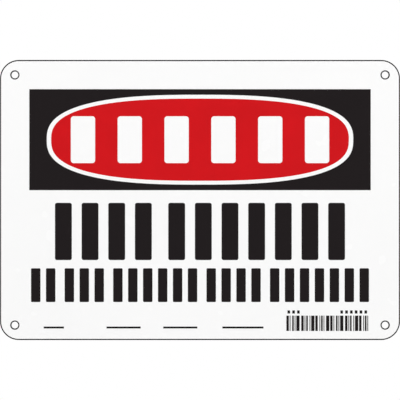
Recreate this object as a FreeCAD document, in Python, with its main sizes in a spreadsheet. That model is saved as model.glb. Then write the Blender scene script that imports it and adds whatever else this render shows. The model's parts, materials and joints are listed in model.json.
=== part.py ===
import FreeCAD, Part

import math
import os

import Sketcher

# A printed safety sign: one sheet of aluminium, 10 by 7 inches, with a screw hole in each corner.
# It stands upright in the XZ plane. Its back lies in the plane y = 0, centred on the origin, and
# its face looks towards -Y. Each field of the print is a thin film of ink that lies on that face.

# The driving sizes in millimetres. A name that ends in share is a plain number.
SIZES = (
    # The sheet
    ("sign_width", 254.0),
    ("sign_height", 177.8),
    ("sheet_thickness", 1.0),
    ("corner_radius", 12.0),
    ("hole_diameter", 4.3),
    ("hole_inset", 9.525),
    ("face_break", 0.45),
    ("back_break", 0.1),
    ("ink_thickness", 0.05),
    # The header, and how the header and the two lines share the height that is left for them
    ("header_side_margin", 18.7),
    ("header_top_margin", 18.6),
    ("header_share", 0.526),
    ("upper_line_share", 0.298),
    # The oval in the header, the bare ring round it, and the row of openings across it
    ("oval_side_margin", 11.05),
    ("oval_top_margin", 3.5),
    ("ring_side_width", 2.8),
    ("ring_top_width", 2.45),
    ("oval_exponent", 2.62),
    ("oval_row_share", 0.868),
    ("oval_fill_share", 0.892),
    ("oval_block_share", 0.52),
    # The two lines of blocks under the header
    ("header_gap", 8.05),
    ("line_gap", 5.2),
    ("upper_side_margin", 35.0),
    ("lower_side_margin", 19.8),
    ("block_share", 0.63),
    ("group_space_share", 0.62),
    ("corner_share", 0.12),
    # The striped patch in the lower right corner, and the small marks over it
    ("stripes_width", 51.9),
    ("stripes_height", 9.75),
    ("stripes_side_margin", 20.3),
    ("stripes_bottom_margin", 5.8),
    ("stripes_gap", 8.6),
    ("mark_height", 2.0),
    ("mark_lift", 1.3),
    # The small strips along the foot
    ("strip_height", 1.2),
    ("strip_lift", 1.6),
    ("strip_side_margin", 27.8),
    ("strip_gap", 14.5),
)

# How many blocks stand in each group of a row
OVAL_BLOCK_COUNTS = (6,)
UPPER_BLOCK_COUNTS = (4, 7)
LOWER_BLOCK_COUNTS = (2, 3, 6, 4, 7)

# The stripes repeat these widths, and the spaces between them these, so the pattern encodes nothing
STRIPE_COUNT = 29
STRIPE_WIDTHS = (3, 1, 2, 1, 4)
SPACE_WIDTHS = (1, 2, 1)

# The marks stand in some of the equal slots over the stripes
MARK_SLOTS = 17
MARKED_SLOTS = (0, 1, 2, 11, 12, 13, 14, 15, 16)
MARK_SHARE = 0.54

# Where each small strip starts and how long it is, as shares of the strips' whole run
STRIPS = ((0.0, 0.092), (0.286, 0.155), (0.544, 0.155), (0.813, 0.187))

# Points in each quarter of the oval that its smooth curve passes through
OVAL_QUARTER_POINT_COUNT = 12

doc = FreeCAD.newDocument("SafetySign")
sheet = doc.addObject("Spreadsheet::Sheet", "Sizes")
for row, (alias, number) in enumerate(SIZES, start=1):
    sheet.set(f"A{row}", alias)
    sheet.set(f"B{row}", str(number))
    sheet.setAlias(f"B{row}", alias)
doc.recompute()

# Where the print lies, from the sheet's edges inwards and from the top down
HEADER_WIDTH = "(Sizes.sign_width - 2 * Sizes.header_side_margin)"
SHARED_HEIGHT = (
    "(Sizes.sign_height - Sizes.header_top_margin - Sizes.header_gap - Sizes.line_gap"
    " - Sizes.stripes_gap - Sizes.stripes_height - Sizes.stripes_bottom_margin)"
)
HEADER_HEIGHT = f"({SHARED_HEIGHT} * Sizes.header_share)"
UPPER_HEIGHT = f"({SHARED_HEIGHT} * Sizes.upper_line_share)"
LOWER_HEIGHT = f"({SHARED_HEIGHT} * (1 - Sizes.header_share - Sizes.upper_line_share))"
HEADER_BOTTOM = f"(Sizes.sign_height / 2 - Sizes.header_top_margin - {HEADER_HEIGHT})"
UPPER_BOTTOM = f"({HEADER_BOTTOM} - Sizes.header_gap - {UPPER_HEIGHT})"
LOWER_BOTTOM = f"({UPPER_BOTTOM} - Sizes.line_gap - {LOWER_HEIGHT})"
HEADER_MIDDLE = f"({HEADER_BOTTOM} + {HEADER_HEIGHT} / 2)"

# Half the oval's width and height, outside the bare ring and inside it
RING_HALF_WIDTH = f"({HEADER_WIDTH} / 2 - Sizes.oval_side_margin)"
RING_HALF_HEIGHT = f"({HEADER_HEIGHT} / 2 - Sizes.oval_top_margin)"
OVAL_HALF_WIDTH = f"({RING_HALF_WIDTH} - Sizes.ring_side_width)"
OVAL_HALF_HEIGHT = f"({RING_HALF_HEIGHT} - Sizes.ring_top_width)"

# The corners of the oval's row of openings stop short of the oval's edge
ROW_RISE = "((1 - Sizes.oval_row_share ^ Sizes.oval_exponent) ^ (1 / Sizes.oval_exponent))"
OVAL_ROW_HEIGHT = f"(2 * {OVAL_HALF_HEIGHT} * Sizes.oval_fill_share * {ROW_RISE})"

STRIPES_LEFT = "(Sizes.sign_width / 2 - Sizes.stripes_side_margin - Sizes.stripes_width)"
STRIPES_BOTTOM = "(Sizes.stripes_bottom_margin - Sizes.sign_height / 2)"
STRIPS_LEFT = "(Sizes.strip_side_margin - Sizes.sign_width / 2)"
STRIPS_RUN = f"({STRIPES_LEFT} - Sizes.strip_gap - {STRIPS_LEFT})"


def value(expression):
    """The number that an expression has with the sizes in the sheet."""
    return float(sheet.evalExpression(expression))


def bind(item, expressions):
    """Tie the named properties of an object to expressions of the sheet's sizes."""
    for name, expression in expressions.items():
        item.setExpression(name, expression)


def add_body(label):
    """A body whose name on the outside is the label."""
    body = doc.addObject("PartDesign::Body", label + "_body")
    body.Label = label
    return body


def add_sketch(body, name, right="0", up="0", out="0"):
    """A sketch that looks at the sign from the front, moved right, up and out from the origin."""
    sketch = body.newObject("Sketcher::SketchObject", name)
    front = next(plane for plane in body.Origin.OriginFeatures if plane.Role == "XZ_Plane")
    sketch.AttachmentSupport = (front, [""])
    sketch.MapMode = "FlatFace"
    offsets = {"AttachmentOffset.Base.x": right, "AttachmentOffset.Base.y": up}
    bind(sketch, offsets | {"AttachmentOffset.Base.z": out})
    return sketch


def add_size(sketch, expression, kind, *geometry):
    """A dimension of a sketch that follows the sheet."""
    index = sketch.addConstraint(Sketcher.Constraint(kind, *geometry, value(expression)))
    sketch.setExpression(f"Constraints[{index}]", expression)


def draw_rounded_rectangle(sketch, width, height, radius):
    """Four lines joined by four equal arcs, centred on the sketch's origin."""
    half_width = value(width) / 2
    half_height = value(height) / 2
    round_radius = value(radius)
    inner_x = half_width - round_radius
    inner_y = half_height - round_radius
    ends = (
        ((-inner_x, -half_height), (inner_x, -half_height)),
        ((half_width, -inner_y), (half_width, inner_y)),
        ((inner_x, half_height), (-inner_x, half_height)),
        ((-half_width, inner_y), (-half_width, -inner_y)),
    )
    for start, end in ends:
        sketch.addGeometry(Part.LineSegment(FreeCAD.Vector(*start, 0), FreeCAD.Vector(*end, 0)))
    corners = ((inner_x, -inner_y), (inner_x, inner_y), (-inner_x, inner_y), (-inner_x, -inner_y))
    for number, corner in enumerate(corners):
        start_angle = (number - 1) * math.pi / 2
        circle = Part.Circle(FreeCAD.Vector(*corner, 0), FreeCAD.Vector(0, 0, 1), round_radius)
        sketch.addGeometry(Part.ArcOfCircle(circle, start_angle, start_angle + math.pi / 2))

    bottom, right, top, left = range(4)
    first_arc = 4
    for side in range(4):
        arc = first_arc + side
        sketch.addConstraint(Sketcher.Constraint("Tangent", side, 2, arc, 1))
        sketch.addConstraint(Sketcher.Constraint("Tangent", arc, 2, (side + 1) % 4, 1))
    for side in (bottom, top):
        sketch.addConstraint(Sketcher.Constraint("Horizontal", side))
    for side in (right, left):
        sketch.addConstraint(Sketcher.Constraint("Vertical", side))
    for arc in range(first_arc + 1, first_arc + 4):
        sketch.addConstraint(Sketcher.Constraint("Equal", first_arc, arc))
    sketch.addConstraint(Sketcher.Constraint("Symmetric", first_arc, 3, first_arc + 2, 3, -1, 1))
    add_size(sketch, radius, "Radius", first_arc)
    add_size(sketch, width, "DistanceX", left, 1, right, 1)
    add_size(sketch, height, "DistanceY", bottom, 1, top, 1)


def draw_corner_holes(sketch, across, up, diameter):
    """Four equal circles, one in each quarter, at the same distances from both axes."""
    for sign_x, sign_y in ((1, 1), (-1, 1), (-1, -1), (1, -1)):
        centre = FreeCAD.Vector(sign_x * value(across), sign_y * value(up), 0)
        sketch.addGeometry(Part.Circle(centre, FreeCAD.Vector(0, 0, 1), value(diameter) / 2))
    for hole in range(1, 4):
        sketch.addConstraint(Sketcher.Constraint("Equal", 0, hole))
    upright_axis, level_axis, origin_point = (-2, -1, -1)
    sketch.addConstraint(Sketcher.Constraint("Symmetric", 0, 3, 1, 3, upright_axis))
    sketch.addConstraint(Sketcher.Constraint("Symmetric", 0, 3, 2, 3, origin_point, 1))
    sketch.addConstraint(Sketcher.Constraint("Symmetric", 0, 3, 3, 3, level_axis))
    add_size(sketch, across, "DistanceX", -1, 1, 0, 3)
    add_size(sketch, up, "DistanceY", -1, 1, 0, 3)
    add_size(sketch, diameter, "Diameter", 0)


def edges_in_plane(shape, y):
    """The names of the edges that lie in a plane across Y."""
    names = []
    for number, edge in enumerate(shape.Edges, start=1):
        box = edge.BoundBox
        if max(abs(box.YMin - y), abs(box.YMax - y)) < 1e-6:
            names.append(f"Edge{number}")
    return names


def make_panel():
    """The blanked sheet: its edges and holes are eased at the face and deburred at the back."""
    panel = add_body("sign_panel")
    outline = add_sketch(panel, "PanelOutline")
    draw_rounded_rectangle(outline, "Sizes.sign_width", "Sizes.sign_height", "Sizes.corner_radius")
    blank = panel.newObject("PartDesign::Pad", "PanelBlank")
    blank.Profile = outline
    bind(blank, {"Length": "Sizes.sheet_thickness"})

    centres = add_sketch(panel, "HoleCentres")
    across = "(Sizes.sign_width / 2 - Sizes.hole_inset)"
    up = "(Sizes.sign_height / 2 - Sizes.hole_inset)"
    draw_corner_holes(centres, across, up, "Sizes.hole_diameter")
    punched = panel.newObject("PartDesign::Pocket", "PunchedHoles")
    punched.Profile = centres
    punched.Type = "ThroughAll"
    punched.Reversed = True
    doc.recompute()

    face_break = panel.newObject("PartDesign::Chamfer", "FaceBreak")
    face_break.Base = (punched, edges_in_plane(punched.Shape, -value("Sizes.sheet_thickness")))
    bind(face_break, {"Size": "min(Sizes.face_break; Sizes.sheet_thickness / 2)"})
    doc.recompute()

    back_break = panel.newObject("PartDesign::Chamfer", "BackBreak")
    back_break.Base = (face_break, edges_in_plane(face_break.Shape, 0))
    bind(back_break, {"Size": "min(Sizes.back_break; Sizes.sheet_thickness / 4)"})
    panel.Tip = back_break
    doc.recompute()
    return panel


def make_block_row(label, groups, span, height, middle, block_share):
    """A row of equal blocks with rounded corners, in groups with wider spaces between them."""
    row_body = add_body(label)
    blocks_in_row = sum(groups)
    narrow_spaces = blocks_in_row - len(groups)
    wide_spaces = len(groups) - 1
    pitches = (
        f"({blocks_in_row} * {block_share} + {narrow_spaces} * (1 - {block_share})"
        f" + {wide_spaces} * Sizes.group_space_share)"
    )
    pitch = f"({span} / {pitches})"
    width = f"({pitch} * {block_share})"
    pitches_before = "0"
    face = "Sizes.sheet_thickness"
    for number, blocks in enumerate(groups, start=1):
        right = f"({width} / 2 - {span} / 2 + {pitch} * ({pitches_before}))"
        sketch = add_sketch(row_body, f"{label}_block_{number}", right, middle, face)
        draw_rounded_rectangle(sketch, width, height, f"({width} * Sizes.corner_share)")
        film = row_body.newObject("PartDesign::Pad", f"{label}_film_{number}")
        film.Profile = sketch
        bind(film, {"Length": "Sizes.ink_thickness"})
        doc.recompute()
        group = row_body.newObject("PartDesign::LinearPattern", f"{label}_group_{number}")
        group.Originals = [film]
        group.Direction = (sketch, ["H_Axis"])
        bind(group, {"Length": f"{pitch} * {blocks - 1}"})
        group.Occurrences = blocks
        row_body.Tip = group
        pitches_before += f" + {blocks - 1} + {block_share} + Sizes.group_space_share"
    doc.recompute()
    return row_body


def add_film(name, left, bottom, width, height):
    """A rectangle of ink on the face."""
    film = doc.addObject("Part::Box", name)
    front = "-(Sizes.sheet_thickness + Sizes.ink_thickness)"
    bind(film, {"Length": width, "Width": "Sizes.ink_thickness", "Height": height})
    bind(film, {"Placement.Base.x": left, "Placement.Base.y": front, "Placement.Base.z": bottom})
    return film


def add_oval(name, half_width, half_height):
    """A film round the header's middle. It is a superellipse, which is fuller than an ellipse."""
    exponent = value("Sizes.oval_exponent")
    points = []
    for step in range(4 * OVAL_QUARTER_POINT_COUNT):
        angle = step * math.pi / 2 / OVAL_QUARTER_POINT_COUNT
        across = math.cos(angle)
        up = math.sin(angle)
        reach = (abs(across) ** exponent + abs(up) ** exponent) ** (-1 / exponent)
        x = reach * across * value(half_width)
        z = reach * up * value(half_height)
        points.append(FreeCAD.Vector(x, 0, z))
    curve = Part.BSplineCurve()
    curve.interpolate(Points=points, PeriodicFlag=True)
    face = Part.Face(Part.Wire(curve.toShape()))
    oval = doc.addObject("Part::Feature", name)
    oval.Shape = face.extrude(FreeCAD.Vector(0, -value("Sizes.ink_thickness"), 0))
    bind(oval, {"Placement.Base.y": "-Sizes.sheet_thickness", "Placement.Base.z": HEADER_MIDDLE})
    return oval


def cut(label, base, tool):
    """What is left of one shape when another is taken out of it."""
    rest = doc.addObject("Part::Cut", label + "_cut")
    rest.Label = label
    rest.Base = base
    rest.Tool = tool
    return rest


def gather(label, films):
    """Films of one ink that belong together."""
    group = doc.addObject("Part::Compound", label + "_films")
    group.Label = label
    group.Links = films
    return group


def make_header():
    """The dark header with its oval opening, and the oval field with a row of openings across it."""
    left = f"-{HEADER_WIDTH} / 2"
    rectangle = add_film("HeaderRectangle", left, HEADER_BOTTOM, HEADER_WIDTH, HEADER_HEIGHT)
    ring_outside = add_oval("RingOutside", RING_HALF_WIDTH, RING_HALF_HEIGHT)
    header = cut("header_print", rectangle, ring_outside)

    ring_inside = add_oval("RingInside", OVAL_HALF_WIDTH, OVAL_HALF_HEIGHT)
    row_span = f"(2 * {OVAL_HALF_WIDTH} * Sizes.oval_row_share)"
    share = "Sizes.oval_block_share"
    openings = make_block_row(
        "oval_openings", OVAL_BLOCK_COUNTS, row_span, OVAL_ROW_HEIGHT, HEADER_MIDDLE, share
    )
    oval = cut("oval_print", ring_inside, openings)
    return [header, oval]


def make_lines():
    """The two lines of blocks under the header."""
    upper_span = "(Sizes.sign_width - 2 * Sizes.upper_side_margin)"
    lower_span = "(Sizes.sign_width - 2 * Sizes.lower_side_margin)"
    upper_middle = f"({UPPER_BOTTOM} + {UPPER_HEIGHT} / 2)"
    lower_middle = f"({LOWER_BOTTOM} + {LOWER_HEIGHT} / 2)"
    share = "Sizes.block_share"
    upper = make_block_row(
        "upper_line_print", UPPER_BLOCK_COUNTS, upper_span, UPPER_HEIGHT, upper_middle, share
    )
    lower = make_block_row(
        "lower_line_print", LOWER_BLOCK_COUNTS, lower_span, LOWER_HEIGHT, lower_middle, share
    )
    return [upper, lower]


def make_stripes():
    """The patch of upright stripes and spaces, each a few units wide."""
    widths = [STRIPE_WIDTHS[number % len(STRIPE_WIDTHS)] for number in range(STRIPE_COUNT)]
    spaces = [SPACE_WIDTHS[number % len(SPACE_WIDTHS)] for number in range(STRIPE_COUNT - 1)]
    unit = f"(Sizes.stripes_width / {sum(widths) + sum(spaces)})"
    stripes = []
    units_before = 0
    for number, width in enumerate(widths):
        left = f"{STRIPES_LEFT} + {unit} * {units_before}"
        name = f"Stripe{number + 1:02d}"
        stripe = add_film(name, left, STRIPES_BOTTOM, f"{unit} * {width}", "Sizes.stripes_height")
        stripes.append(stripe)
        if number < len(spaces):
            units_before += width + spaces[number]
    return gather("stripes_print", stripes)


def make_small_print():
    """The small marks over the stripes and the small strips along the foot."""
    slot = f"(Sizes.stripes_width / {MARK_SLOTS})"
    mark_bottom = f"{STRIPES_BOTTOM} + Sizes.stripes_height + Sizes.mark_lift"
    films = []
    for marked in MARKED_SLOTS:
        left = f"{STRIPES_LEFT} + {slot} * {marked + (1 - MARK_SHARE) / 2}"
        name = f"Mark{marked:02d}"
        mark = add_film(name, left, mark_bottom, f"{slot} * {MARK_SHARE}", "Sizes.mark_height")
        films.append(mark)
    strip_bottom = f"{STRIPES_BOTTOM} + Sizes.strip_lift"
    for number, (start, length) in enumerate(STRIPS, start=1):
        left = f"{STRIPS_LEFT} + {STRIPS_RUN} * {start}"
        name = f"Strip{number}"
        strip = add_film(name, left, strip_bottom, f"{STRIPS_RUN} * {length}", "Sizes.strip_height")
        films.append(strip)
    return gather("small_print", films)


def check(parts):
    """Stop if any object failed to compute, or any part is empty or not valid."""
    for item in doc.Objects:
        if "Invalid" in item.State or "Error" in item.State:
            raise RuntimeError(f"{item.Name} failed: {item.State}")
    for part in parts:
        if part.Shape.isNull() or not part.Shape.isValid() or not part.Shape.Solids:
            raise RuntimeError(f"{part.Label} has no valid solid")


def write(parts):
    """One STEP file for each part."""
    os.makedirs("parts", exist_ok=True)
    for part in parts:
        part.Shape.exportStep(f"parts/{part.Label}.step")
        solids = len(part.Shape.Solids)
        print(f"{part.Label}: {solids} solids, {part.Shape.Volume:.3f} cubic mm")


sign_parts = [make_panel()] + make_header() + make_lines() + [make_stripes(), make_small_print()]
doc.recompute()
check(sign_parts)
write(sign_parts)
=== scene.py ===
# %% [markdown]
# A printed safety sign, dressed for a portrait. The real thing is one sheet of aluminium, 1 mm thick,
# with a white enamel face and a few fields of screen ink. The solids of the print arrive with the right
# shape, so they stay and get an ink finish. The sheet itself is modelled again here, because what makes
# a blanked sheet look real is at its edges: metal that the punch drew down, a sheared wall, a deburred
# back, and a white coat that stops just short of the bare rim.

# %% Load the frame
import json
import math

import bmesh
import bpy
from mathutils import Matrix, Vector


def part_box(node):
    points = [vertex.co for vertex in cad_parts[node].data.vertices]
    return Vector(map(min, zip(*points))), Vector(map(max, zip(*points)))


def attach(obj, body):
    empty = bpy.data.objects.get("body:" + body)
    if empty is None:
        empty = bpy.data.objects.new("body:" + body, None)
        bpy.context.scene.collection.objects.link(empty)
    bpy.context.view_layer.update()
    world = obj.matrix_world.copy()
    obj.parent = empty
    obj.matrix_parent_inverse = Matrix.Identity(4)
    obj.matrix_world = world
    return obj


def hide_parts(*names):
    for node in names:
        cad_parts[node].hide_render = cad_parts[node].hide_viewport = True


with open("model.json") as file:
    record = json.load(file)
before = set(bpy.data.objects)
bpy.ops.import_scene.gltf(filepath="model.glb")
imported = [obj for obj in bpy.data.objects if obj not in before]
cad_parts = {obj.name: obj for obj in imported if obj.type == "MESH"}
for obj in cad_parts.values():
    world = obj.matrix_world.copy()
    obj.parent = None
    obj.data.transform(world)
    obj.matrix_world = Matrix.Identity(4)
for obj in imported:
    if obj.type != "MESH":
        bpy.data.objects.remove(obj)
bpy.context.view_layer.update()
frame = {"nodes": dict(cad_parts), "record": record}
MM = 0.001
print("nodes:", ", ".join(sorted(frame["nodes"])))

# %% [markdown]
# The camera comes first, because every later choice is judged through it. The sign was photographed
# square on, with no perspective to be seen, and it fills the width of the picture. A long lens from
# far away does that, and still leaves a true camera that can walk round the sign afterwards.

# %% Camera
PHOTO_WIDTH_IN_METRES = 0.2538
LENS = 200.0
SENSOR = 36.0

face_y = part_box("sign_panel")[0].y
distance = PHOTO_WIDTH_IN_METRES * LENS / SENSOR
bpy.ops.object.camera_add(location=(0, face_y - distance, 0), rotation=(math.radians(90), 0, 0))
camera = bpy.context.object
camera.name = "camera"
camera.data.lens = LENS
camera.data.sensor_width = SENSOR
camera.data.clip_start = 0.01
bpy.context.scene.camera = camera
print(f"camera {distance:.3f} m in front of the face")

# %% [markdown]
# The sheet is blanked by a press, and it can be modelled in the same order: an outline, punched holes,
# then a thickness. A plane is added at the face and a vertex bevel rounds its four corners. The inset
# draws the line where the white coat will stop, just inside the edge, and the rim outside that line is
# hidden, so that the next cuts leave it whole. All sizes are read from the solid that the sheet
# stands for.

# %% Sheet: outline
CORNER_RADIUS = 12.0 * MM
CORNER_SEGMENTS = 24
EDGE_ROLL = 0.45 * MM
OUTLINE_RIM = 0.36 * MM

sheet_low, sheet_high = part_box("sign_panel")
sheet_size = sheet_high - sheet_low
sheet_middle = (sheet_low + sheet_high) / 2


def deselect_objects():
    """Operators act on all that is selected, so nothing is selected when a piece is begun."""
    bpy.ops.object.select_all(action="DESELECT")


def pick(piece, kind, wanted):
    """In edit mode, select only the visible faces or edges for which wanted is true."""
    bpy.ops.mesh.select_mode(type=kind)
    bpy.ops.mesh.select_all(action="DESELECT")
    mesh = bmesh.from_edit_mesh(piece.data)
    elements = mesh.faces if kind == "FACE" else mesh.edges
    chosen = [element for element in elements if not element.hide and wanted(element)]
    for element in chosen:
        element.select_set(True)
    mesh.select_flush_mode()
    bmesh.update_edit_mesh(piece.data)
    return len(chosen)


deselect_objects()
bpy.ops.mesh.primitive_plane_add(
    size=1,
    location=(sheet_middle.x, sheet_low.y, sheet_middle.z),
    rotation=(math.radians(90), 0, 0),
)
sheet = bpy.context.object
sheet.name = "sheet"
sheet.data.name = "sheet"
sheet.scale = (sheet_size.x, sheet_size.z, 1)
bpy.ops.object.transform_apply(location=True, rotation=True, scale=True)
bpy.ops.geometry.attribute_add(name="coat", domain="FACE", data_type="FLOAT")

bpy.ops.object.mode_set(mode="EDIT")
bpy.ops.mesh.select_all(action="SELECT")
bpy.ops.mesh.bevel(offset=CORNER_RADIUS, segments=CORNER_SEGMENTS, affect="VERTICES")
bpy.ops.mesh.select_all(action="SELECT")
bpy.ops.mesh.inset(thickness=EDGE_ROLL + OUTLINE_RIM, depth=0)
bpy.ops.mesh.hide(unselected=True)
bpy.ops.object.mode_set(mode="OBJECT")
print("outline:", len(sheet.data.vertices), "vertices,", len(sheet.data.polygons), "faces")

# %% [markdown]
# A hole could be cut with a boolean, but that leaves long thin faces, and smooth shading shows each of
# them as a streak. Here two bisect cuts on each side of a hole give it a small square of its own. The
# square is opened, its sides are divided as finely as the hole, and a circle is added in its middle.
# The two rims are then bridged with a ring of even faces. Two rims in one plane give the bridge no
# direction, and it may come out twisted, so the circle starts a little in front and is pushed flat
# afterwards. All that is visible now is the coated part, so it is marked in one go. The holes' size
# and spacing are those of the mount in the record, because screws and brackets have to fit them.

# %% Sheet: holes
HOLE_RIM = 0.36 * MM
HOLE_SEGMENTS = 64
SQUARE_REACH = 3.8 * MM
BRIDGE_LIFT = 1.0 * MM
SAME_PLACE = 0.001 * MM

mounts = {mount["name"]: mount["dims"] for mount in frame["record"]["mounts"]}
holes = mounts["mounting_holes"]
hole_radius = holes["hole_r_mm"] * MM
hole_across = [side * holes["spacing_x_mm"] / 2 * MM for side in (-1, 1)]
hole_up = [side * holes["spacing_y_mm"] / 2 * MM for side in (-1, 1)]
coat_end = hole_radius + EDGE_ROLL + HOLE_RIM
sheet.data.attributes.active = sheet.data.attributes["coat"]


def is_near(points, x, z, reach):
    """Whether every point lies in the square of the given reach round a hole's middle."""
    limit = reach + SAME_PLACE
    return all(abs(point.x - x) < limit and abs(point.z - z) < limit for point in points)


def corners(element):
    return [vertex.co for vertex in element.verts]


bpy.ops.object.mode_set(mode="EDIT")
for axis, lines in ((Vector((1, 0, 0)), hole_across), (Vector((0, 0, 1)), hole_up)):
    for line in lines:
        for side in (-1, 1):
            bpy.ops.mesh.select_all(action="SELECT")
            bpy.ops.mesh.bisect(plane_co=axis * (line + side * SQUARE_REACH), plane_no=axis)
for x in hole_across:
    for z in hole_up:
        pick(sheet, "FACE", lambda face: is_near(corners(face), x, z, SQUARE_REACH))
        bpy.ops.mesh.delete(type="ONLY_FACE")
        pick(sheet, "EDGE", lambda edge: is_near(corners(edge), x, z, SQUARE_REACH))
        bpy.ops.mesh.subdivide(number_cuts=HOLE_SEGMENTS // 4 - 1)
        bpy.ops.mesh.primitive_circle_add(
            vertices=HOLE_SEGMENTS,
            radius=coat_end,
            location=(x, sheet_low.y - BRIDGE_LIFT, z),
            rotation=(math.radians(90), 0, 0),
        )
        pick(sheet, "EDGE", lambda edge: is_near(corners(edge), x, z, SQUARE_REACH))
        bpy.ops.mesh.bridge_edge_loops()
        pick(sheet, "EDGE", lambda edge: is_near(corners(edge), x, z, coat_end) and edge.is_boundary)
        bpy.ops.transform.translate(value=(0, BRIDGE_LIFT, 0))
bpy.ops.mesh.select_mode(type="FACE")
bpy.ops.mesh.select_all(action="SELECT")
bpy.ops.mesh.attribute_set(value_float=1.0)
bpy.ops.mesh.reveal(select=False)
bpy.ops.object.mode_set(mode="OBJECT")
print("coated:", sum(1 for mark in sheet.data.attributes["coat"].data if mark.value == 1.0), "faces")

# %% [markdown]
# Each circle is extruded inwards to the hole's own radius, which makes the bare rim there. Extruding
# the whole backwards then gives the outline and the holes their walls at once. New faces take over
# the mark of the coat from their neighbours, so it comes off the holes' rims and the back again.

# %% Sheet: bare rims and thickness
bpy.ops.object.mode_set(mode="EDIT")
for x in hole_across:
    for z in hole_up:
        pick(sheet, "EDGE", lambda edge: is_near(corners(edge), x, z, coat_end) and edge.is_boundary)
        bpy.ops.mesh.extrude_edges_move()
        bpy.ops.transform.resize(
            value=(hole_radius / coat_end, 1, hole_radius / coat_end), center_override=(x, sheet_low.y, z)
        )
        pick(sheet, "FACE", lambda face: is_near(corners(face), x, z, coat_end))
        bpy.ops.mesh.attribute_set(value_float=0.0)
bpy.ops.mesh.select_mode(type="FACE")
bpy.ops.mesh.select_all(action="SELECT")
bpy.ops.mesh.extrude_region_move(TRANSFORM_OT_translate={"value": (0, sheet_size.y, 0)})
pick(sheet, "FACE", lambda face: any(point.y > sheet_low.y + SAME_PLACE for point in corners(face)))
bpy.ops.mesh.attribute_set(value_float=0.0)
bpy.ops.mesh.select_all(action="SELECT")
bpy.ops.mesh.normals_make_consistent(inside=False)
bpy.ops.object.mode_set(mode="OBJECT")
print("punched blank:", len(sheet.data.vertices), "vertices,", len(sheet.data.polygons), "faces")

# %% [markdown]
# A punch pulls the metal down round every edge of the face before it shears, which leaves a soft
# rolled edge there, and a sharp burr at the back that is filed off. Both are bevels: a round one at
# the face and one flat cut at the back. The edges are found by their place and by the angle that
# their two faces make, so the outline and the four holes are all treated in one go. Weighted normals
# then keep the large flats flat, while the rolled edge is shaded smooth.

# %% Sheet: rolled face edges and deburred back
ROLL_SEGMENTS = 4
BACK_BREAK = 0.1 * MM
RIM_ANGLE = math.radians(45)


def is_rim(edge, y):
    """An edge where the flat in the plane y meets a wall."""
    in_plane = all(abs(point.y - y) < SAME_PLACE for point in corners(edge))
    return in_plane and edge.calc_face_angle(0) > RIM_ANGLE


bpy.ops.object.mode_set(mode="EDIT")
rims = pick(sheet, "EDGE", lambda edge: is_rim(edge, sheet_low.y))
bpy.ops.mesh.bevel(offset=EDGE_ROLL, segments=ROLL_SEGMENTS, profile=0.5, affect="EDGES")
print("rolled edges:", rims)
rims = pick(sheet, "EDGE", lambda edge: is_rim(edge, sheet_high.y))
bpy.ops.mesh.bevel(offset=BACK_BREAK, segments=1, affect="EDGES")
print("deburred edges:", rims)
bpy.ops.object.mode_set(mode="OBJECT")

deselect_objects()
sheet.select_set(True)
bpy.context.view_layer.objects.active = sheet
bpy.ops.object.shade_smooth()
bpy.ops.object.modifier_add(type="WEIGHTED_NORMAL")
sheet.modifiers[-1].weight = 100
bpy.ops.object.modifier_apply(modifier=sheet.modifiers[-1].name)
print("sheet:", len(sheet.data.vertices), "vertices,", len(sheet.data.polygons), "faces")

# %% [markdown]
# Every finish below is one principled shader. Patterns on the object's own coordinates, in metres,
# feed its colour, its roughness and a bump, and these helpers keep each recipe down to its numbers. A
# pattern has a number of features in a metre, stretch multiplies that number along each axis, and
# lean tilts the streaks that this makes. Noise is built on a square lattice, which shows as columns
# once it is squeezed, so each pattern is also turned within that lattice. Noise also seldom leaves
# the middle of its range, so a spread takes only that middle.

# %% Helpers for patterns
LATTICE_TURN = 30
NOISE_LOW = 0.3
NOISE_HIGH = 0.7


def new_finish(name):
    """A material, its node tree and its shader."""
    material = bpy.data.materials.new(name)
    material.use_nodes = True
    tree = material.node_tree
    return material, tree, tree.nodes["Principled BSDF"]


def add_pattern(tree, per_metre=1.0, detail=2.0, stretch=(1, 1, 1), lean=0.0):
    """Noise on object coordinates. It returns a value from 0 to 1."""
    place = tree.nodes.new("ShaderNodeTexCoord")
    tilt = tree.nodes.new("ShaderNodeMapping")
    tilt.inputs["Rotation"].default_value = (0, math.radians(lean), 0)
    squeeze = tree.nodes.new("ShaderNodeMapping")
    squeeze.inputs["Scale"].default_value = stretch
    squeeze.inputs["Rotation"].default_value = (0, math.radians(LATTICE_TURN), 0)
    noise = tree.nodes.new("ShaderNodeTexNoise")
    noise.inputs["Scale"].default_value = per_metre
    noise.inputs["Detail"].default_value = detail
    tree.links.new(place.outputs["Object"], tilt.inputs["Vector"])
    tree.links.new(tilt.outputs["Vector"], squeeze.inputs["Vector"])
    tree.links.new(squeeze.outputs["Vector"], noise.inputs["Vector"])
    return noise.outputs["Fac"]


def add_range(tree, value, low, high, start=0.0, end=1.0):
    """Spread a value from start to end over low to high."""
    spread = tree.nodes.new("ShaderNodeMapRange")
    spread.inputs["From Min"].default_value = start
    spread.inputs["From Max"].default_value = end
    spread.inputs["To Min"].default_value = low
    spread.inputs["To Max"].default_value = high
    tree.links.new(value, spread.inputs["Value"])
    return spread.outputs["Result"]


def add_spread(tree, pattern, low, high):
    """Spread the middle of a pattern's range over low to high."""
    return add_range(tree, pattern, low, high, NOISE_LOW, NOISE_HIGH)


sheet_finish, sheet_tree, sheet_shader = new_finish("enamelled_sheet")
print("begun:", sheet_finish.name)

# %% [markdown]
# One surface can carry several finishes, and one finish several patterns. They are put together by
# sums and products, by blends that a mask steers, and by bumps that lie one on top of another.

# %% Helpers for putting patterns together
# A Mix node has inputs and outputs for each kind of value: the first, the second and the result.
BLEND_SOCKETS = {"FLOAT": (2, 3, 0), "RGBA": (6, 7, 2)}


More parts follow.
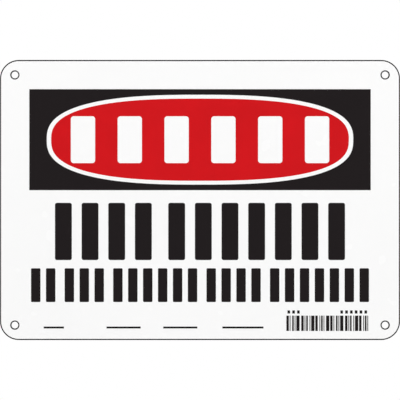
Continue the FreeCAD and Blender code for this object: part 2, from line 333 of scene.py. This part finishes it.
def add_math(tree, operation, first, second):
    """Two values combined by ADD, MULTIPLY or MAXIMUM."""
    math_node = tree.nodes.new("ShaderNodeMath")
    math_node.operation = operation
    tree.links.new(first, math_node.inputs[0])
    tree.links.new(second, math_node.inputs[1])
    return math_node.outputs["Value"]


def add_shade(tree, colour, amount):
    """A colour made lighter or darker by a factor that varies over the surface."""
    shade = tree.nodes.new("ShaderNodeVectorMath")
    shade.operation = "SCALE"
    shade.inputs[0].default_value = colour
    tree.links.new(amount, shade.inputs["Scale"])
    return shade.outputs["Vector"]


def add_blend(tree, kind, share, first, second):
    """The first colour or number where share is 0, and the second where it is 1."""
    blend = tree.nodes.new("ShaderNodeMix")
    blend.data_type = kind
    first_input, second_input, output = BLEND_SOCKETS[kind]
    tree.links.new(share, blend.inputs[0])
    tree.links.new(first, blend.inputs[first_input])
    tree.links.new(second, blend.inputs[second_input])
    return blend.outputs[output]


def add_bump(tree, height, depth, share=None, before=None):
    """Relief of the given depth in metres where share is 1, on top of the bump before it."""
    bump = tree.nodes.new("ShaderNodeBump")
    bump.inputs["Distance"].default_value = depth
    tree.links.new(height, bump.inputs["Height"])
    if share is not None:
        tree.links.new(share, bump.inputs["Strength"])
    if before is not None:
        tree.links.new(before, bump.inputs["Normal"])
    return bump.outputs["Normal"]


print("kinds of blend:", ", ".join(BLEND_SOCKETS))

# %% [markdown]
# The sheet shows four surfaces. Its face is baked enamel. Its back is bare aluminium as it left the
# rolling mill. Its edge is sheared metal in two bands. The bare rim and the rolled part that the punch
# burnishes are painted near black, a painted shade that draws the thin line round the sheet and the
# holes. Further back the metal breaks off and is left brighter and rough. Three masks say where each
# one lies. The coat is the mark on the faces. The others come from the depth within the sheet, and
# noise added to that depth keeps the border between the two bands uneven, as a real sheared edge has it.

# %% Finish of the sheet: masks
# The painted shade on the edge reaches this deep from the face, give or take the wave.
PAINTED_SHADE_BAND_DEPTH = 0.42 * MM
BORDER_WAVE = 0.10 * MM
BORDER_BLUR = 0.04 * MM
# The back's finish sets in on its filed edge, between these depths in front of the back.
BACK_FROM = 1.2 * BACK_BREAK
BACK_FULLY = 0.5 * BACK_BREAK

place = sheet_tree.nodes.new("ShaderNodeTexCoord")
axes = sheet_tree.nodes.new("ShaderNodeSeparateXYZ")
sheet_tree.links.new(place.outputs["Object"], axes.inputs["Vector"])
depth = axes.outputs["Y"]
wave = add_range(sheet_tree, add_pattern(sheet_tree, per_metre=900), -BORDER_WAVE, BORDER_WAVE)
uneven_depth = add_math(sheet_tree, "ADD", depth, wave)
border = sheet_low.y + PAINTED_SHADE_BAND_DEPTH
broken = add_range(sheet_tree, uneven_depth, 0, 1, border, border + BORDER_BLUR)
at_back = add_range(sheet_tree, depth, 0, 1, sheet_high.y - BACK_FROM, sheet_high.y - BACK_FULLY)
mark = sheet_tree.nodes.new("ShaderNodeAttribute")
mark.attribute_name = "coat"
coat = mark.outputs["Fac"]
bare = add_range(sheet_tree, coat, 1, 0)
at_edge = add_math(sheet_tree, "MULTIPLY", bare, add_range(sheet_tree, at_back, 1, 0))
print("masks:", len(sheet_tree.nodes), "shader nodes")

# %% [markdown]
# Each surface has patterns of its own, in their real sizes. Enamel is a thick smooth paint, nearly
# white and a little cloudy, with the faint orange peel of sprayed paint, dimples about 2 mm apart.
# Rolled aluminium has fine grain along the sheet, some patches that are rubbed duller, and a few
# scratches across the grain from stacking. The sheared bands have streaks from face to back, because
# that is the way the punch went.

# %% Finish of the sheet: patterns
RUBBED_FROM = 0.52
RUBBED_FULLY = 0.62
SCRATCHED_FROM = 0.70
SCRATCHED_FULLY = 0.76

cloud = add_pattern(sheet_tree, per_metre=14, detail=3)
dust = add_pattern(sheet_tree, per_metre=60)
peel = add_pattern(sheet_tree, per_metre=420, detail=1)
grain = add_pattern(sheet_tree, detail=4, stretch=(18, 1, 2600))
rubbed = add_range(sheet_tree, cloud, 0, 1, RUBBED_FROM, RUBBED_FULLY)
steep = add_pattern(sheet_tree, detail=1, stretch=(14, 1, 2400), lean=63)
shallow = add_pattern(sheet_tree, detail=1, stretch=(10, 1, 2000), lean=-24)
both_ways = add_math(sheet_tree, "MAXIMUM", steep, shallow)
scratches = add_range(sheet_tree, both_ways, 0, 1, SCRATCHED_FROM, SCRATCHED_FULLY)
streaks = add_pattern(sheet_tree, detail=3, stretch=(2200, 120, 2200))
print("patterns:", len(sheet_tree.nodes), "shader nodes")

# %% [markdown]
# Each surface now gets a colour and a roughness from its patterns, and the masks blend the four into
# the one shader. The shades are factors that take a colour down and up. They stay close to 1 on the
# enamel, which is even, and go furthest on the sheared edge, where the punch leaves light and dark
# streaks.

# %% Finish of the sheet: colour and roughness
ENAMEL = (0.94, 0.94, 0.938)
ENAMEL_SHADES = (0.992, 1.004)
ENAMEL_ROUGHNESS = (0.20, 0.28)
ENAMEL_SHINE = 0.3
MILL_METAL = (0.66, 0.67, 0.68)
MILL_SHADES = (0.92, 1.06)
MILL_ROUGHNESS = (0.30, 0.42)
RUBBED_SHADE = 0.95
RUBBED_ROUGHER = 0.08
SHEARED_METAL = (0.50, 0.50, 0.51)
SHEARED_SHADES = (0.8, 1.15)
# Painted shade: the bare rim and the rolled edge are near black, so a dark line runs round the outline and
# the holes.
PAINTED_EDGE_SHADE = (0.012, 0.012, 0.0125)
PAINTED_EDGE_SHADE_SPREAD = (0.7, 1.3)
EDGE_ROUGHNESS = (0.45, 0.60)

enamel_colour = add_shade(sheet_tree, ENAMEL, add_spread(sheet_tree, cloud, *ENAMEL_SHADES))
enamel_roughness = add_spread(sheet_tree, dust, *ENAMEL_ROUGHNESS)
painted_shade_colour = add_shade(sheet_tree, PAINTED_EDGE_SHADE, add_spread(sheet_tree, streaks, *PAINTED_EDGE_SHADE_SPREAD))
sheared_colour = add_shade(sheet_tree, SHEARED_METAL, add_spread(sheet_tree, streaks, *SHEARED_SHADES))
edge_roughness = add_spread(sheet_tree, streaks, *EDGE_ROUGHNESS)
grain_shade = add_spread(sheet_tree, grain, *MILL_SHADES)
rubbed_shade = add_range(sheet_tree, rubbed, 1, RUBBED_SHADE)
mill_colour = add_shade(sheet_tree, MILL_METAL, add_math(sheet_tree, "MULTIPLY", grain_shade, rubbed_shade))
grain_roughness = add_spread(sheet_tree, grain, *MILL_ROUGHNESS)
rubbed_rougher = add_range(sheet_tree, rubbed, 0, RUBBED_ROUGHER)
mill_roughness = add_math(sheet_tree, "ADD", grain_roughness, rubbed_rougher)

edge_colour = add_blend(sheet_tree, "RGBA", broken, painted_shade_colour, sheared_colour)
metal_colour = add_blend(sheet_tree, "RGBA", at_back, edge_colour, mill_colour)
colour = add_blend(sheet_tree, "RGBA", coat, metal_colour, enamel_colour)
metal_roughness = add_blend(sheet_tree, "FLOAT", at_back, edge_roughness, mill_roughness)
roughness = add_blend(sheet_tree, "FLOAT", coat, metal_roughness, enamel_roughness)
sheet_tree.links.new(colour, sheet_shader.inputs["Base Color"])
sheet_tree.links.new(roughness, sheet_shader.inputs["Roughness"])
sheet_tree.links.new(bare, sheet_shader.inputs["Metallic"])
sheet_shader.inputs["Specular IOR Level"].default_value = ENAMEL_SHINE
print("colour and roughness:", len(sheet_tree.nodes), "shader nodes")

# %% [markdown]
# Relief comes last, one bump on top of another, and each is as strong as its mask. The depths are real
# ones, a few thousandths of a millimetre, so they show only where a reflection runs over them.

# %% Finish of the sheet: relief
PEEL_DEPTH = 0.008 * MM
GRAIN_DEPTH = 0.003 * MM
SCRATCH_DEPTH = 0.004 * MM
STREAK_DEPTH = 0.008 * MM

unscratched = add_range(sheet_tree, scratches, 1, 0)
relief = add_bump(sheet_tree, peel, PEEL_DEPTH, share=coat)
relief = add_bump(sheet_tree, grain, GRAIN_DEPTH, share=at_back, before=relief)
relief = add_bump(sheet_tree, unscratched, SCRATCH_DEPTH, share=at_back, before=relief)
relief = add_bump(sheet_tree, streaks, STREAK_DEPTH, share=at_edge, before=relief)
sheet_tree.links.new(relief, sheet_shader.inputs["Normal"])
sheet.data.materials.append(sheet_finish)

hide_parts("sign_panel")
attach(sheet, "root")
print("sheet finished:", len(sheet_tree.nodes), "shader nodes")

# %% [markdown]
# Screen ink is a thin, slightly uneven film. Close up it keeps a trace of the mesh that it was pressed
# through, a weave of about four threads to the millimetre, and it lies on the enamel as a low step.
# The step is real in the solids, so the finish adds the weave, a little cloudiness and a satin gloss.
# A weak reflection matters most here: the black has to stay black under a white studio.

# %% Finish of the inks
BLACK_INK = (0.0098, 0.0070, 0.0077)
RED_INK = (0.602, 0.0050, 0.0085)
INK_SHADES = (0.96, 1.04)
INK_ROUGHNESS = (0.34, 0.46)
INK_SHINE = 0.08
THREADS_PER_METRE = 4000
WANDERS_PER_METRE = 60
WEAVE_DEPTH = 0.002 * MM


def make_ink(name, colour):
    """A film of screen ink with a faint weave."""
    material, tree, shader = new_finish(name)
    thickness = add_spread(tree, add_pattern(tree, per_metre=45, detail=3), *INK_SHADES)
    tree.links.new(add_shade(tree, colour, thickness), shader.inputs["Base Color"])
    satin = add_spread(tree, add_pattern(tree, per_metre=300), *INK_ROUGHNESS)
    tree.links.new(satin, shader.inputs["Roughness"])
    upright = add_pattern(tree, detail=0, stretch=(THREADS_PER_METRE, 1, WANDERS_PER_METRE))
    level = add_pattern(tree, detail=0, stretch=(WANDERS_PER_METRE, 1, THREADS_PER_METRE))
    weave = add_bump(tree, upright, WEAVE_DEPTH)
    weave = add_bump(tree, level, WEAVE_DEPTH, before=weave)
    tree.links.new(weave, shader.inputs["Normal"])
    shader.inputs["Specular IOR Level"].default_value = INK_SHINE
    return material


black_ink = make_ink("black_screen_ink", BLACK_INK)
red_ink = make_ink("red_screen_ink", RED_INK)
for node, film in frame["nodes"].items():
    if node != "sign_panel":
        film.data.materials.clear()
        film.data.materials.append(red_ink if node == "oval_print" else black_ink)
        print("ink on", node)

# %% [markdown]
# The photograph has no ground or shadow: the sign floats on white. The floor lies below the camera's
# view, and it melts into the white background further out, so that no edge shows when the camera
# walks round. Only what the camera and reflections see is white there. The light on the sign comes
# from the grey that the other rays see and from the lamps.

# %% Floor
FLOOR_DROP = 0.11
FLOOR_RADIUS = 6.0
FLOOR_COLOUR = (0.82, 0.82, 0.82, 1)
WHITE_FROM = 0.35
WHITE_FULLY = 0.80

deselect_objects()
bpy.ops.mesh.primitive_circle_add(
    vertices=96, radius=FLOOR_RADIUS, fill_type="NGON", location=(0, 0, sheet_low.z - FLOOR_DROP)
)
floor = bpy.context.object
floor.name = "floor"
bpy.ops.object.transform_apply(location=True, rotation=True, scale=True)


def add_seen_directly(tree):
    """1 for camera, glossy and transmission rays, and 0 for the rest."""
    rays = tree.nodes.new("ShaderNodeLightPath").outputs
    some = add_math(tree, "MAXIMUM", rays["Is Camera Ray"], rays["Is Glossy Ray"])
    return add_math(tree, "MAXIMUM", some, rays["Is Transmission Ray"])


floor_finish, floor_tree, floor_paint = new_finish("pale_floor")
floor_paint.inputs["Base Color"].default_value = FLOOR_COLOUR
floor_paint.inputs["Roughness"].default_value = 0.9
floor_paint.inputs["Specular IOR Level"].default_value = 0.1
spot = floor_tree.nodes.new("ShaderNodeTexCoord")
reach = floor_tree.nodes.new("ShaderNodeVectorMath")
reach.operation = "LENGTH"
floor_tree.links.new(spot.outputs["Object"], reach.inputs[0])
far_off = add_range(floor_tree, reach.outputs["Value"], 0, 1, WHITE_FROM, WHITE_FULLY)
fade = add_math(floor_tree, "MULTIPLY", far_off, add_seen_directly(floor_tree))
white = floor_tree.nodes.new("ShaderNodeEmission")
melt = floor_tree.nodes.new("ShaderNodeMixShader")
floor_tree.links.new(fade, melt.inputs["Fac"])
floor_tree.links.new(floor_paint.outputs["BSDF"], melt.inputs[1])
floor_tree.links.new(white.outputs["Emission"], melt.inputs[2])
floor_tree.links.new(melt.outputs["Shader"], floor_tree.nodes["Material Output"].inputs["Surface"])
floor.data.materials.append(floor_finish)
print("floor", round(floor.data.vertices[0].co.z, 3))

# %% [markdown]
# The light is a plain soft studio. A grey surround fills the shadows, and three broad lamps add the
# rest: two from the camera's side, so that the face is evenly lit, and one behind for the back. Their
# powers add up to a level at which a colour renders about as it is written.

# %% World and lamps
SURROUND = 0.595
# Each lamp has a name, a place in metres, a width in metres and a power in watts.
LAMPS = (
    ("key_lamp", (-1.1, -1.6, 1.1), 1.2, 13.8),
    ("fill_lamp", (1.3, -1.5, 0.5), 1.4, 9.5),
    ("back_lamp", (0.6, 1.7, 1.2), 1.2, 16.0),
)

world = bpy.data.worlds.new("white_surround")
bpy.context.scene.world = world
world.use_nodes = True
world_tree = world.node_tree
grey = world_tree.nodes["Background"]
grey.inputs["Color"].default_value = (1, 1, 1, 1)
grey.inputs["Strength"].default_value = SURROUND
bright = world_tree.nodes.new("ShaderNodeBackground")
bright.inputs["Color"].default_value = (1, 1, 1, 1)
bright.inputs["Strength"].default_value = 1.0
chooser = world_tree.nodes.new("ShaderNodeMixShader")
world_tree.links.new(add_seen_directly(world_tree), chooser.inputs["Fac"])
world_tree.links.new(grey.outputs["Background"], chooser.inputs[1])
world_tree.links.new(bright.outputs["Background"], chooser.inputs[2])
world_tree.links.new(chooser.outputs["Shader"], world_tree.nodes["World Output"].inputs["Surface"])

for name, lamp_place, width, power in LAMPS:
    aim = -Vector(lamp_place)
    turn = aim.to_track_quat("-Z", "Y").to_euler()
    bpy.ops.object.light_add(type="AREA", location=lamp_place, rotation=turn)
    lamp = bpy.context.object
    lamp.name = name
    lamp.data.shape = "DISK"
    lamp.data.size = width
    lamp.data.energy = power
    print(name, power, "W")

bpy.context.scene.view_settings.view_transform = "Standard"
